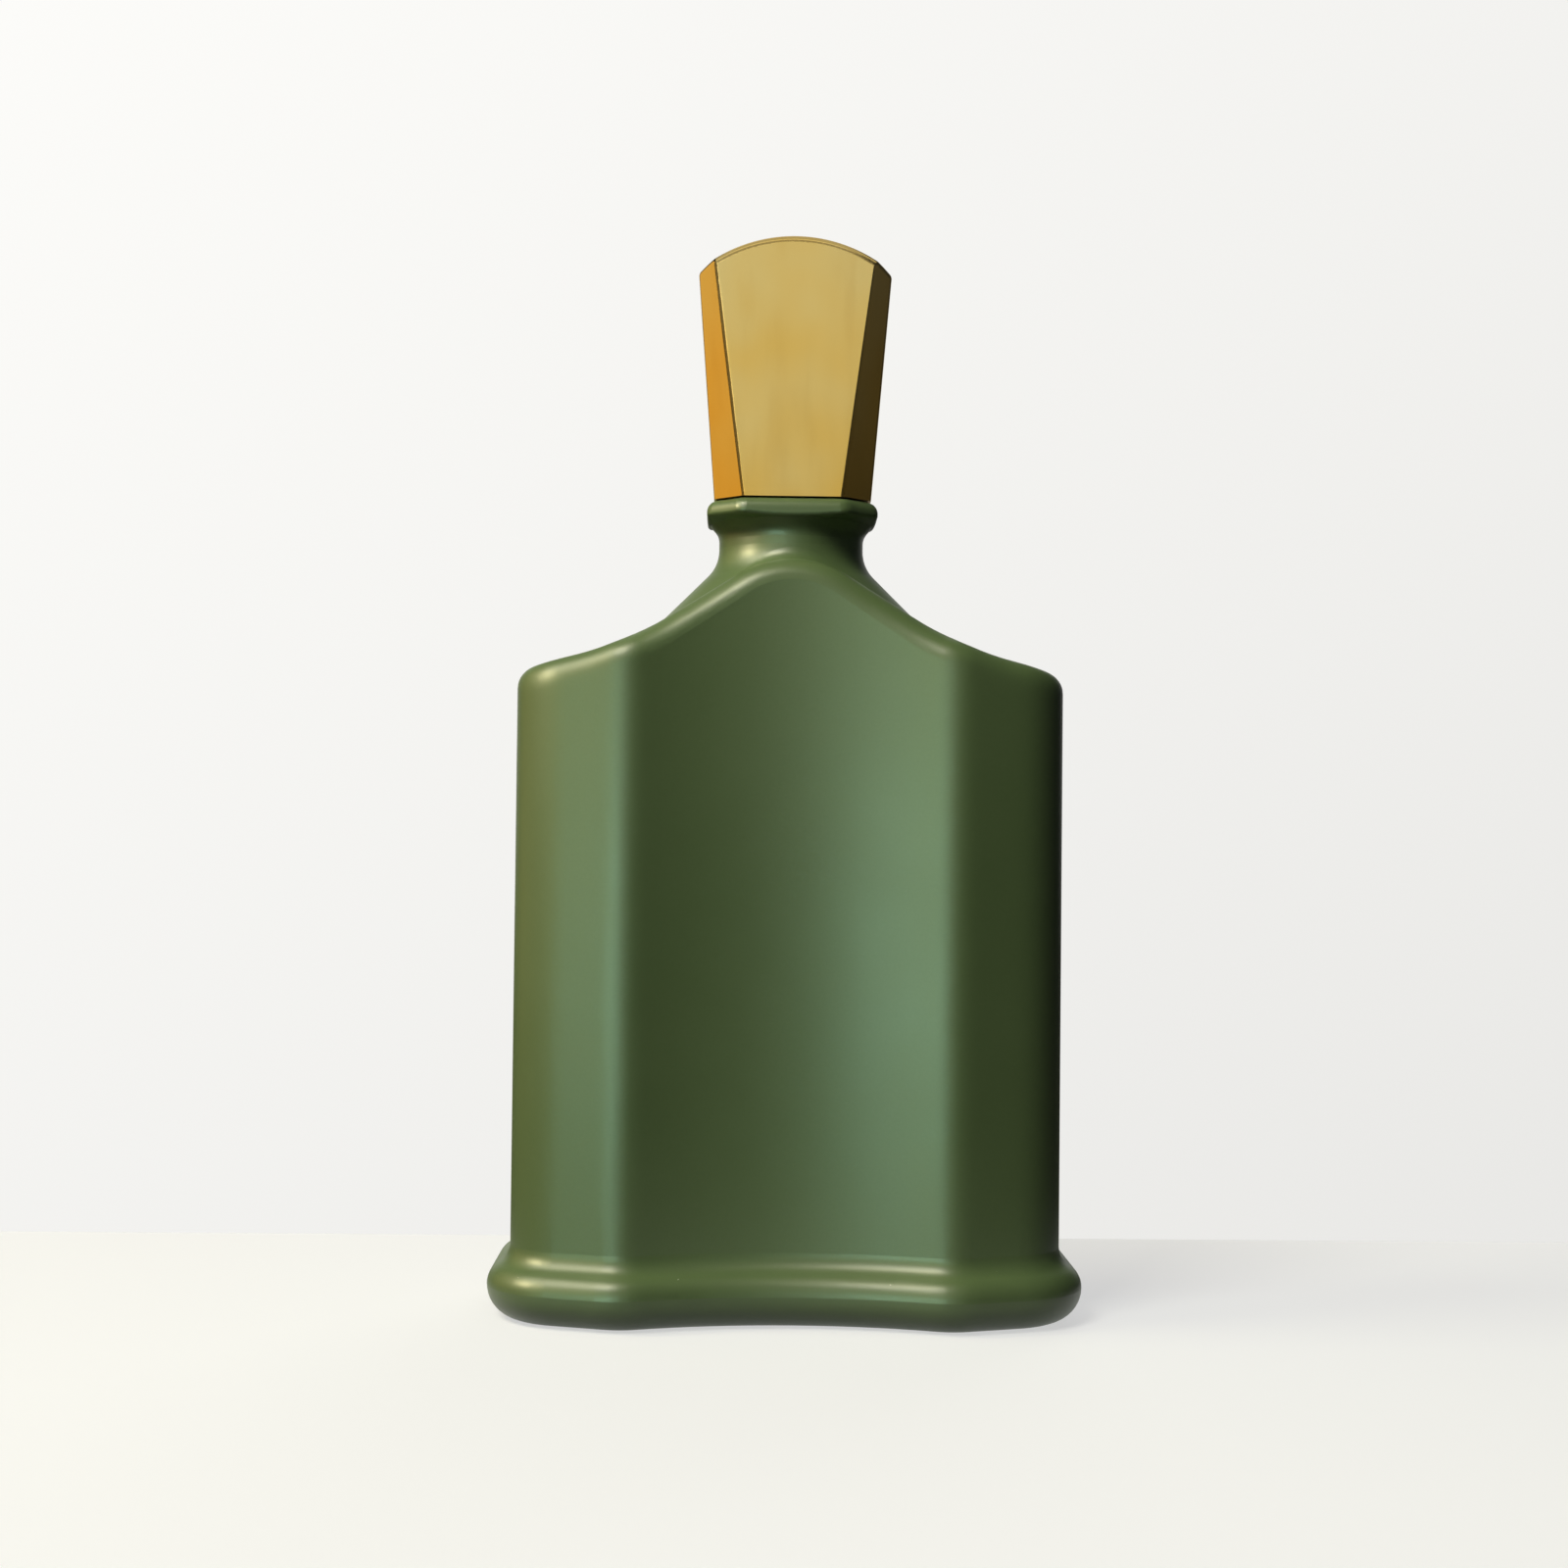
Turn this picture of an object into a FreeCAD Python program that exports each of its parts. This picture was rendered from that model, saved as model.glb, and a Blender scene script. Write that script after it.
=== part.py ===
"""Aftershave spray bottle: lacquered glass bottle, crimped spray pump and faceted cap.

Millimetres. The bottle stands on z = 0, centred on the z axis, with its front towards -y.
"""
import FreeCAD
import Part
import math
import os
from FreeCAD import Vector

# Glass body
body_width = 70.0
body_depth = 36.0
ridge_spacing = 41.0
panel_sag = 4.0
bevel_angle = 18.0
ridge_radius = 6.5
side_radius = 8.5
wall = 4.0
base_thickness = 6.5
foot_inset = 9.0
foot_rise = 1.2

# Base bead
bead_out = 2.9
bead_middle = 4.2
bead_round = 3.0
bead_cove = 2.8
bead_land = 0.5

# Shoulder and neck
shoulder_height = 82.0
shoulder_angle = 13.0
shoulder_sweep = 36.0
shoulder_edge = 2.8
throat_angle = 33.0
crest_rise = 14.4
crest_radius = 13.0
neck_diameter = 18.9
neck_lift = 2.3
neck_cove = 5.0
flare_angle = 45.0
neck_fillet = 2.0
neck_bore = 9.6
neck_rise = 1.0
ring_height = 4.7
ring_cove = 2.2
ring_slope = 50.0
ring_lip = 0.4
ring_lip_slope = 12.0
ring_overhang = 0.9
ring_corner = 2.0
ring_crown = 1.4
ring_soften = 0.5

# Crimp finish and ferrule
finish_diameter = 15.0
finish_undercut = 0.9
finish_stem = 1.6
finish_bead = 4.0
gasket_thickness = 0.8
sheet = 0.4
sheet_play = 0.05

# Spray pump
stroke = 4.2
piston_slip = 0.6
flange_thickness = 0.9
housing_play = 0.4
housing_wall = 0.9
turret_diameter = 9.2
turret_height = 2.8
turret_plug = 1.0
stem_diameter = 3.5
stem_bore = 1.6
running_play = 0.04
stop_play = 0.05
stem_flange = 0.8
preload_length = 4.2
preload_wire = 0.45
preload_turns = 3.5
piston_height = 3.6
pin_flange = 0.9
return_length = 11.0
return_wire = 0.6
return_turns = 6.0
ball_diameter = 2.5
ball_play = 0.35
ball_rise = 0.8
tube_diameter = 2.4
tube_bore = 1.5
tube_grip = 5.0
tube_straight = 14.0
tube_reach = 14.0
tube_end_gap = 2.0

# Spray button
button_diameter = 13.2
button_gap = 0.4
button_skin = 0.4
socket_depth = 3.2
nozzle_diameter = 3.8
nozzle_length = 2.4
nozzle_roof = 1.2
dish_depth = 0.7

# Cap
cap_base_flat = 12.8
cap_top_width = 25.4
cap_top_flat = 21.4
cap_height = 32.9
cap_arch_radius = 19.4
cap_wall = 1.1
cap_edge = 0.9
cap_gap = 0.2
cap_headroom = 5.2
liner_wall = 0.5
liner_rib = 1.2
liner_reach = 0.55
liner_ribs = 12
liner_roof = 1.0
liner_lift = 0.8

# Heights of the neck and the finish
crest_height = shoulder_height + crest_rise
neck_start = crest_height + neck_lift
ring_base = neck_start + neck_rise
ring_top = ring_base + ring_height
finish_base = ring_top + finish_stem
lip = finish_base + finish_bead
flange_base = lip + gasket_thickness
flange_top = flange_base + flange_thickness
turret_top = flange_top + turret_height
ferrule_shoulder = flange_top + sheet
ferrule_top = turret_top + sheet

# Radii of the pump
finish_radius = finish_diameter / 2
bore_radius = neck_bore / 2
flange_radius = finish_radius - 0.3
housing_radius = bore_radius - housing_play
cylinder_radius = housing_radius - housing_wall
piston_radius = cylinder_radius - running_play
stem_radius = stem_diameter / 2
pin_radius = stem_bore / 2
turret_radius = turret_diameter / 2
ferrule_neck = turret_radius + sheet_play + sheet
ferrule_radius = finish_radius + sheet_play + sheet
ball_radius = ball_diameter / 2
tube_radius = tube_diameter / 2
piston_bore = (pin_radius + stem_radius) / 2

# Heights of the pump at rest
stem_stop = flange_top - turret_plug
stem_shoulder = stem_stop - stop_play - stem_flange
piston_top = stem_shoulder - preload_length
piston_seat = piston_top - piston_height
piston_step = piston_seat + 0.8
stem_end = piston_step + piston_slip + 0.2
pin_top = piston_seat - (stem_radius - piston_bore) - stop_play
pin_base = pin_top - pin_flange
housing_floor = pin_base - return_length
chamber_radius = ball_radius + ball_play
inlet_radius = ball_radius * 0.5
seat_top = housing_floor - ball_radius * 1.2
seat_base = seat_top - (chamber_radius - inlet_radius)
socket_roof = seat_base - 1.0
housing_end = socket_roof - tube_grip

# Heights and radii of the button
button_radius = button_diameter / 2
button_base = ferrule_shoulder + stroke + button_gap
button_roof = ferrule_top + stroke + button_gap
stem_top = button_roof + socket_depth
nozzle_radius = nozzle_diameter / 2
nozzle_height = stem_top + nozzle_radius * 0.7
core_top = nozzle_height + nozzle_radius + nozzle_roof
button_top = core_top + button_skin
core_radius = button_radius - button_skin

# Heights and radii of the cap
cap_base = ring_top + cap_gap
cap_top = cap_base + cap_height
liner_grip = ferrule_radius + running_play + liner_reach
liner_radius = liner_grip + liner_wall
cap_base_width = 2 * (liner_radius + cap_wall)
liner_top = button_top + cap_headroom + liner_roof
liner_step = ferrule_shoulder + 0.25


def turned(points):
    """Solid of revolution about z from (radius, height) corners."""
    corners = [Vector(radius, 0, height) for radius, height in points]
    face = Part.Face(Part.makePolygon(corners + corners[:1]))
    return face.revolve(Vector(0, 0, 0), Vector(0, 0, 1), 360)


def drum(radius, low, high):
    """Upright cylinder on the axis."""
    return Part.makeCylinder(radius, high - low, Vector(0, 0, low))


def outline_face(lines):
    """Face inside a closed run of lines and arcs."""
    return Part.Face(Part.Wire([line.toShape() for line in lines]))


def tangent_arc(start, along, end):
    """Arc that leaves start in the direction along and reaches end."""
    chord = end - start
    side = chord - along * chord.dot(along)
    side.normalize()
    radius = chord.dot(chord) / (2 * chord.dot(side))
    centre = start + side * radius
    middle = (start + end) * 0.5 - centre
    middle.normalize()
    if chord.dot(along) < 0:
        middle = middle * -1
    return Part.Arc(start, centre + middle * radius, end).toShape()


def section_corners(inset):
    """Places where the line of the body section changes, in its front right quarter."""
    half_width = body_width / 2 - inset
    apex = Vector(ridge_spacing / 2, -body_depth / 2, 0)
    panel_radius = (apex.x ** 2 + panel_sag ** 2) / (2 * panel_sag)
    panel_centre = Vector(0, apex.y + panel_sag - panel_radius, 0)
    slope = math.radians(bevel_angle)
    bevel = Vector(math.cos(slope), math.sin(slope), 0)
    inward = Vector(-bevel.y, bevel.x, 0)
    ridge = max(ridge_radius - inset, 0.8)
    side = max(side_radius - inset, 0.8)

    guide = apex + inward * (inset + ridge) - panel_centre
    reach = panel_radius + inset + ridge
    along = guide.dot(bevel)
    step = math.sqrt(along ** 2 - guide.dot(guide) + reach ** 2) - along
    ridge_centre = panel_centre + guide + bevel * step
    to_panel = (panel_centre - ridge_centre).normalize()

    edge = apex + inward * (inset + side)
    side_centre = edge + bevel * ((half_width - side - edge.x) / bevel.x)
    return {
        "front": Vector(0, panel_centre.y + panel_radius + inset, 0),
        "panel_end": ridge_centre + to_panel * ridge,
        "ridge": ridge_centre + (to_panel - inward).normalize() * ridge,
        "bevel_start": ridge_centre - inward * ridge,
        "bevel_end": side_centre - inward * side,
        "corner": side_centre + (Vector(1, 0, 0) - inward).normalize() * side,
        "side": Vector(half_width, side_centre.y, 0),
    }


def section_wire(inset, height):
    """Closed outline of the body, drawn in by inset, at a height."""
    corners = section_corners(inset)

    def at(name, right, front):
        place = corners[name]
        return Vector(place.x * right, place.y * front, height)

    def line(start, end):
        return Part.LineSegment(start, end).toShape()

    def arc(start, middle, end):
        return Part.Arc(start, middle, end).toShape()

    def half(right, front):
        left = -right
        return [
            arc(at("side", right, front), at("corner", right, front), at("bevel_end", right, front)),
            line(at("bevel_end", right, front), at("bevel_start", right, front)),
            arc(at("bevel_start", right, front), at("ridge", right, front), at("panel_end", right, front)),
            arc(at("panel_end", right, front), at("front", right, front), at("panel_end", left, front)),
            arc(at("panel_end", left, front), at("ridge", left, front), at("bevel_start", left, front)),
            line(at("bevel_start", left, front), at("bevel_end", left, front)),
            arc(at("bevel_end", left, front), at("corner", left, front), at("side", left, front)),
        ]

    start = Vector(body_width / 2 - inset, 0, height)
    edges = [line(start, at("side", 1, -1))] + half(1, -1)
    edges += [line(at("side", -1, -1), at("side", -1, 1))] + half(-1, 1)
    edges += [line(at("side", 1, 1), start)]
    return Part.Wire(edges)


def slope_vector(angle):
    """Direction that falls outwards at an angle to the level, in the x-z plane."""
    return Vector(math.cos(math.radians(angle)), 0, -math.sin(math.radians(angle)))


def meet(point, along, other, other_along):
    """Crossing of two lines in the x-z plane."""
    gap = other - point
    turn = along.x * other_along.z - along.z * other_along.x
    return point + along * ((gap.x * other_along.z - gap.z * other_along.x) / turn)


def bell_corners(inset):
    """Places where the line of the shoulder changes, from its crest out past the side."""
    steep = slope_vector(throat_angle)
    flat = slope_vector(shoulder_angle)
    middle = slope_vector((throat_angle + shoulder_angle) / 2)
    crest = crest_radius - inset
    sweep = shoulder_sweep + inset
    pivot = Vector(0, 0, crest_height - crest_radius)
    crest_end = pivot + Vector(-steep.z, 0, steep.x) * crest
    side = Vector(body_width / 2, 0, shoulder_height - inset / flat.x)
    knee = meet(crest_end, steep, side, flat)
    reach = sweep * math.tan(math.radians((throat_angle - shoulder_angle) / 2))
    bend_start = knee - steep * reach
    return {
        "top": pivot + Vector(0, 0, crest),
        "crest_end": crest_end,
        "bend_start": bend_start,
        "bend": bend_start + Vector(middle.z - steep.z, 0, steep.x - middle.x) * sweep,
        "bend_end": knee + flat * reach,
        "side": side + flat * (bead_out + 2),
    }


def bell(inset, floor):
    """Shoulder outline carried from front to back, drawn in by inset."""
    corners = bell_corners(inset)
    depth = body_depth + 2 * bead_out + 2

    def at(name, right):
        return Vector(corners[name].x * right, -depth / 2, corners[name].z)

    def foot(right):
        return Vector(corners["side"].x * right, -depth / 2, floor)

    lines = [
        Part.LineSegment(foot(-1), at("side", -1)),
        Part.LineSegment(at("side", -1), at("bend_end", -1)),
        Part.Arc(at("bend_end", -1), at("bend", -1), at("bend_start", -1)),
        Part.LineSegment(at("bend_start", -1), at("crest_end", -1)),
        Part.Arc(at("crest_end", -1), at("top", 1), at("crest_end", 1)),
        Part.LineSegment(at("crest_end", 1), at("bend_start", 1)),
        Part.Arc(at("bend_start", 1), at("bend", 1), at("bend_end", 1)),
        Part.LineSegment(at("bend_end", 1), at("side", 1)),
        Part.LineSegment(at("side", 1), foot(1)),
        Part.LineSegment(foot(1), foot(-1)),
    ]
    return outline_face(lines).extrude(Vector(0, depth, 0))


def neck_flare():
    """Round neck that opens in a cove towards the shoulder."""
    radius = neck_diameter / 2
    turn = math.radians(90 - flare_angle)

    def cove(angle):
        out = neck_cove * (1 - math.cos(angle))
        return Vector(radius + out, 0, neck_start - neck_cove * math.sin(angle))

    top = Vector(radius, 0, ring_base + 0.5)
    fall = slope_vector(flare_angle)
    crossing = meet(cove(turn), fall, bell_corners(0)["crest_end"], slope_vector(throat_angle))
    low = crossing + fall
    lines = [
        Part.LineSegment(Vector(0, 0, top.z), top),
        Part.LineSegment(top, cove(0)),
        Part.Arc(cove(0), cove(turn / 2), cove(turn)),
        Part.LineSegment(cove(turn), low),
        Part.LineSegment(low, Vector(0, 0, low.z)),
        Part.LineSegment(Vector(0, 0, low.z), Vector(0, 0, top.z)),
    ]
    flare = outline_face(lines).revolve(Vector(0, 0, 0), Vector(0, 0, 1), 360)
    return flare.common(Part.Face(section_wire(0.6, low.z)).extrude(Vector(0, 0, top.z - low.z)))


def bead_profile():
    """Line of the foot, the base bead, its cove and the wall, at the right side of the body."""
    x = body_width / 2
    sole = x + bead_out - bead_middle
    foot = Part.LineSegment(Vector(sole - bead_land, 0, 0), Vector(sole, 0, 0))
    low = math.sqrt(0.5) * bead_middle
    toe = Part.Arc(
        Vector(sole, 0, 0), Vector(sole + low, 0, bead_middle - low), Vector(x + bead_out, 0, bead_middle))
    both = bead_round + bead_cove
    turn = math.acos(1 - bead_out / both)

    def brow(angle):
        out = bead_out - bead_round + bead_round * math.cos(angle)
        return Vector(x + out, 0, bead_middle + bead_round * math.sin(angle))

    hollow = Vector(x + bead_cove, 0, bead_middle + both * math.sin(turn))

    def cove(angle):
        return hollow - Vector(math.cos(angle), 0, math.sin(angle)) * bead_cove

    crest = Part.Arc(brow(0), brow(turn / 2), brow(turn))
    sweep = Part.Arc(cove(turn), cove(turn / 2), cove(0))
    rise = Part.LineSegment(cove(0), Vector(x, 0, ring_base + 0.5))
    return Part.Wire([line.toShape() for line in (foot, toe, crest, sweep, rise)])


def glass_hull():
    """Upright body with its base bead, before the shoulder is cut."""
    skin = section_wire(0, 0).makePipe(bead_profile())
    land = bead_middle - bead_out + bead_land
    ends = [Part.Face(section_wire(land, 0)), Part.Face(section_wire(0, ring_base + 0.5))]
    shell = Part.Shell(skin.Faces + ends)
    shell.sewShape()
    hull = Part.Solid(shell)
    if hull.Volume < 0:
        hull.reverse()
    return hull


def crossing_edges(solid, first, second):
    """Edges of a solid where a face of one test meets a face of the other."""
    chosen = []
    for edge in solid.Edges:
        faces = solid.ancestorsOfType(edge, Part.Face)
        if len(faces) == 2 and any(first(a) and second(b) for a, b in (faces, faces[::-1])):
            chosen.append(edge)
    return chosen


def middle_normal(face):
    """Outward direction at the middle of a face."""
    low_u, high_u, low_v, high_v = face.ParameterRange
    return face.normalAt((low_u + high_u) / 2, (low_v + high_v) / 2)


def octagon(width, flat, height):
    """Outline with flats of one length on four sides and cut corners between them."""
    half = width / 2
    corner = flat / 2
    places = [(corner, -half), (half, -corner), (half, corner), (corner, half)]
    places += [(-x, -y) for x, y in places]
    points = [Vector(x, y, height) for x, y in places]
    return Part.makePolygon(points + points[:1])


def neck_ring():
    """Eight-sided ring of glass under the cap, drawn in below its lip to the round neck."""
    width = cap_base_width + 2 * ring_overhang
    flat = cap_base_flat + 2 * ring_overhang * math.tan(math.radians(22.5))
    ring = Part.Face(octagon(width, flat, ring_base)).extrude(Vector(0, 0, ring_height))
    upright = [edge for edge in ring.Edges if edge.BoundBox.ZLength > ring_height / 2]
    ring = ring.makeFillet(ring_corner, upright)
    brim = [edge for edge in ring.Edges if edge.CenterOfMass.z > ring_top - ring_height / 4]
    ring = ring.makeFillet(ring_crown, brim)
    turn = math.radians(90 - ring_slope)

    def cove(angle):
        out = neck_diameter / 2 + ring_cove * (1 - math.cos(angle))
        return Vector(out, 0, ring_base + ring_cove * math.sin(angle))

    start = cove(turn)
    reach = max(width / 2 - ring_lip - start.x, 0.1)
    lip_start = start + Vector(1, 0, math.tan(math.radians(ring_slope))) * reach
    rim = lip_start + Vector(1, 0, math.tan(math.radians(ring_lip_slope))) * width
    lines = [
        Part.LineSegment(Vector(0, 0, ring_base), cove(0)),
        Part.Arc(cove(0), cove(turn / 2), start),
        Part.LineSegment(start, lip_start),
        Part.LineSegment(lip_start, rim),
        Part.LineSegment(rim, Vector(0, 0, rim.z)),
        Part.LineSegment(Vector(0, 0, rim.z), Vector(0, 0, ring_base)),
    ]
    cup = outline_face(lines).revolve(Vector(0, 0, 0), Vector(0, 0, 1), 360)
    ring = ring.common(cup).Solids[0]

    def is_lip(face):
        return face.Surface.TypeId == "Part::GeomCone" and middle_normal(face).z < -0.9

    def is_side(face):
        return middle_normal(face).z > -0.01

    return ring.makeFillet(ring_soften, crossing_edges(ring, is_side, is_lip))


def crimp_finish():
    """Lip of the neck with the undercut that the ferrule is crimped under."""
    stem = finish_radius - finish_undercut
    return turned([
        (0, ring_top - 1), (stem, ring_top - 1), (stem, finish_base),
        (finish_radius, finish_base + finish_undercut), (finish_radius, lip - 0.5),
        (finish_radius - 0.5, lip), (0, lip),
    ])


def glass_cavity():
    """Room for the liquid and the bore of the neck."""
    room = Part.Face(section_wire(wall, base_thickness)).extrude(Vector(0, 0, ring_base))
    return room.common(bell(wall + 1, 0)).fuse(drum(bore_radius, shoulder_height - wall, lip + 1))


def glass_bottle():
    """Hollow bottle with base bead, hollowed panels, arched shoulder, neck ring and finish."""
    body = glass_hull().common(bell(0, -1)).Solids[0]

    def is_shoulder(face):
        return middle_normal(face).z > 0.5 and face.BoundBox.ZMax > shoulder_height - 3

    def is_wall(face):
        return abs(middle_normal(face).z) < 0.01

    body = body.makeFillet(shoulder_edge, crossing_edges(body, is_shoulder, is_wall))
    body = body.fuse(neck_flare())

    def is_flare(face):
        turned_face = face.Surface.TypeId in ("Part::GeomToroid", "Part::GeomCone")
        return turned_face and face.BoundBox.ZMin > shoulder_height

    def is_bell(face):
        drawn_face = face.Surface.TypeId in ("Part::GeomPlane", "Part::GeomCylinder")
        return drawn_face and middle_normal(face).z > 0.5

    body = body.makeFillet(neck_fillet, crossing_edges(body, is_flare, is_bell))
    foot = Part.Face(section_wire(foot_inset, 0)).extrude(Vector(0, 0, foot_rise))
    return body.fuse(neck_ring()).fuse(crimp_finish()).cut(glass_cavity()).cut(foot).removeSplitter()


def neck_gasket():
    """Flat seal on the glass lip."""
    return drum(flange_radius, lip, flange_base).cut(drum(housing_radius + 0.1, lip, flange_base))


def crimp_ferrule():
    """Drawn sheet cup over the finish, crimped under it and raised round the turret."""
    inner = finish_radius + sheet_play
    rise = turret_radius + sheet_play
    hole = stem_radius + 0.9
    crimp = finish_undercut - 0.3
    bend = finish_base + finish_undercut
    slant = sheet * math.sqrt(0.5)
    skirt = bend - sheet * math.tan(math.radians(22.5))
    return turned([
        (inner - crimp, bend - crimp), (inner, bend), (inner, flange_top), (rise, flange_top),
        (rise, turret_top), (hole, turret_top), (hole, ferrule_top), (ferrule_neck, ferrule_top),
        (ferrule_neck, ferrule_shoulder), (ferrule_radius - 0.3, ferrule_shoulder),
        (ferrule_radius, ferrule_shoulder - 0.3), (ferrule_radius, skirt),
        (inner - crimp + slant, bend - crimp - slant),
    ])


def pump_housing():
    """Pump cylinder with its flange, the inlet seat for the ball and the socket for the tube."""
    nose = tube_radius + housing_wall
    taper = housing_radius - nose
    return turned([
        (cylinder_radius, flange_top), (flange_radius, flange_top), (flange_radius, flange_base),
        (housing_radius, flange_base), (housing_radius, seat_base), (nose, seat_base - taper),
        (nose, housing_end), (tube_radius, housing_end), (tube_radius, socket_roof),
        (inlet_radius, socket_roof), (inlet_radius, seat_base), (chamber_radius, seat_top),
        (chamber_radius, housing_floor), (cylinder_radius, housing_floor),
    ])


def pump_turret():
    """Plug that closes the cylinder and guides the stem."""
    hole = stem_radius + running_play
    plug = cylinder_radius - 0.02
    return turned([
        (hole, stem_stop), (plug, stem_stop), (plug, flange_top), (turret_radius, flange_top),
        (turret_radius, turret_top), (hole, turret_top),
    ])


def dip_tube():
    """Suction tube that hangs straight from the housing and then bows to one side."""
    drop = socket_roof - tube_straight
    fall = drop - base_thickness - tube_end_gap
    bow = (fall ** 2 + tube_reach ** 2) / (2 * tube_reach)
    half = math.atan2(tube_reach, fall)
    start = Vector(0, 0, socket_roof)
    bend = Vector(0, 0, drop)
    middle = Vector(bow * (1 - math.cos(half)), 0, drop - bow * math.sin(half))
    end = Vector(tube_reach, 0, drop - fall)
    run = [Part.LineSegment(start, bend).toShape(), Part.Arc(bend, middle, end).toShape()]

    def sweep(radius):
        face = Part.Face(Part.Wire(Part.Circle(start, Vector(0, 0, 1), radius).toShape()))
        return Part.Wire(run).makePipe(face)

    return sweep(tube_radius).cut(sweep(tube_bore / 2))


def inlet_ball():
    """Ball that closes the inlet, just clear of its cone."""
    apex = seat_base - inlet_radius
    centre = apex + ball_radius * math.sqrt(2) + stop_play
    return Part.makeSphere(ball_radius, Vector(0, 0, centre))


def valve_pin():
    """Pin pressed into the stem, with the seat for the piston and the seat for the spring."""
    root = cylinder_radius - return_wire - 1.0
    pin = turned([
        (0, pin_base - 1.2), (root, pin_base - 1.2), (root, pin_base), (cylinder_radius - 0.7, pin_base),
        (cylinder_radius - 0.7, pin_top), (stem_radius, pin_top),
        (pin_radius, pin_top + stem_radius - pin_radius), (pin_radius, stem_end + 4), (0, stem_end + 4),
    ])
    groove = pin_top + stem_radius - pin_radius + 0.3
    for side in (1, -1):
        low = Vector(-pin_radius, side * pin_radius * 1.3 - pin_radius * 0.65, groove)
        pin = pin.cut(Part.makeBox(stem_bore, pin_radius * 1.3, stem_end + 5 - groove, low))
    return pin


def pump_piston():
    """Sliding seal with two lips on the cylinder and a bore that shuts on the pin."""
    lip_in = cylinder_radius - 0.5
    waist = cylinder_radius - 0.6
    return turned([
        (piston_bore, piston_seat), (lip_in, piston_seat), (lip_in, piston_seat - 0.7),
        (piston_radius, piston_seat - 0.7), (piston_radius, piston_seat + 0.5), (waist, piston_seat + 0.8),
        (waist, piston_top - 0.8), (piston_radius, piston_top - 0.5), (piston_radius, piston_top),
        (stem_radius + running_play, piston_top), (stem_radius + running_play, piston_step),
        (piston_bore, piston_step),
    ])


def pump_stem():
    """Hollow push rod with the flange that stops it under the turret."""
    shoulder = cylinder_radius - 0.3
    return turned([
        (pin_radius, stem_end), (stem_radius, stem_end), (stem_radius, stem_shoulder),
        (shoulder, stem_shoulder), (shoulder, stem_shoulder + stem_flange),
        (stem_radius, stem_shoulder + stem_flange), (stem_radius, stem_top - 0.3),
        (stem_radius - 0.3, stem_top), (pin_radius, stem_top),
    ])


def coil_spring(coil_radius, wire, low, high, turns):
    """Round wire spring between two heights, drawn as pairs of arcs for each quarter turn."""
    base = low + wire / 2
    pitch = (high - low - wire) / turns
    steps = max(4, round(turns * 4))
    quarter = 2 * math.pi * turns / steps
    climb = pitch / (2 * math.pi)

    def place(step):
        angle = step * quarter
        return Vector(coil_radius * math.cos(angle), coil_radius * math.sin(angle), base + climb * angle)

    def heading(step):
        angle = step * quarter
        return Vector(-coil_radius * math.sin(angle), coil_radius * math.cos(angle), climb).normalize()

    edges = []
    for step in range(steps):
        start, end = place(step), place(step + 1)
        leave, arrive = heading(step), heading(step + 1)
        chord = end - start
        both = leave + arrive
        square = both.dot(both) - 4
        lead = chord.dot(both)
        reach = (lead - math.sqrt(lead ** 2 - square * chord.dot(chord))) / square
        joint = (start + leave * reach + end - arrive * reach) * 0.5
        edges.append(tangent_arc(start, leave, joint))
        edges.append(tangent_arc(end, arrive * -1, joint))
    ring = Part.Wire(Part.Circle(place(0), heading(0), wire / 2).toShape())
    middle = Part.Wire(Part.__sortEdges__(edges))
    half_turn = 24
    points = middle.discretize(int(turns * 2 * half_turn))
    apart = [near.distanceToPoint(far) for i, near in enumerate(points) for far in points[i + half_turn:]]
    print("least gap between turns %.2f" % (min(apart) - wire))
    return middle.makePipeShell([ring], True, False)


def return_spring():
    """Spring under the valve pin."""
    coil = cylinder_radius - 0.4 - return_wire / 2
    return coil_spring(coil, return_wire, housing_floor + 0.02, pin_base - 0.02, return_turns)


def preload_spring():
    """Spring between the piston and the flange of the stem."""
    coil = (cylinder_radius + stem_radius) / 2
    return coil_spring(coil, preload_wire, piston_top + 0.02, stem_shoulder - 0.02, preload_turns)


def actuator_core():
    """Plastic button with the stem socket, the spray channel and the seat of the nozzle."""
    skirt = ferrule_neck + 0.35
    hole = stem_radius + running_play
    core = turned([
        (0, button_roof), (skirt, button_roof), (skirt, button_base), (core_radius, button_base),
        (core_radius, core_top), (0, core_top),
    ])
    dish = drum(core_radius - 1, core_top - dish_depth, core_top)
    channel = drum(pin_radius, button_roof, nozzle_height + pin_radius)
    duct = Part.makeCylinder(pin_radius, core_radius, Vector(0, 0, nozzle_height), Vector(0, -1, 0))
    seat = nozzle_space(nozzle_radius, core_radius - nozzle_length, core_radius)
    return core.cut(dish).cut(drum(hole, button_roof, stem_top + stop_play)).cut(channel).cut(duct).cut(seat)


def nozzle_space(radius, near, far):
    """Level cylinder at the nozzle, between two distances in front of the axis."""
    return Part.makeCylinder(radius, far - near, Vector(0, -near, nozzle_height), Vector(0, -1, 0))


def actuator_shell():
    """Thin metal skin of the button with a dished top and a window for the nozzle."""
    soft = button_skin
    shell = turned([
        (core_radius, button_base), (button_radius, button_base), (button_radius, button_top - soft),
        (button_radius - soft, button_top), (core_radius - 1 + button_skin, button_top),
        (core_radius - 1 - button_skin, button_top - dish_depth), (0, button_top - dish_depth),
        (0, core_top - dish_depth), (core_radius - 1, core_top - dish_depth), (core_radius - 1, core_top),
        (core_radius, core_top),
    ])
    return shell.cut(nozzle_space(nozzle_radius + 0.2, 0, button_radius + 1))


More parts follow.
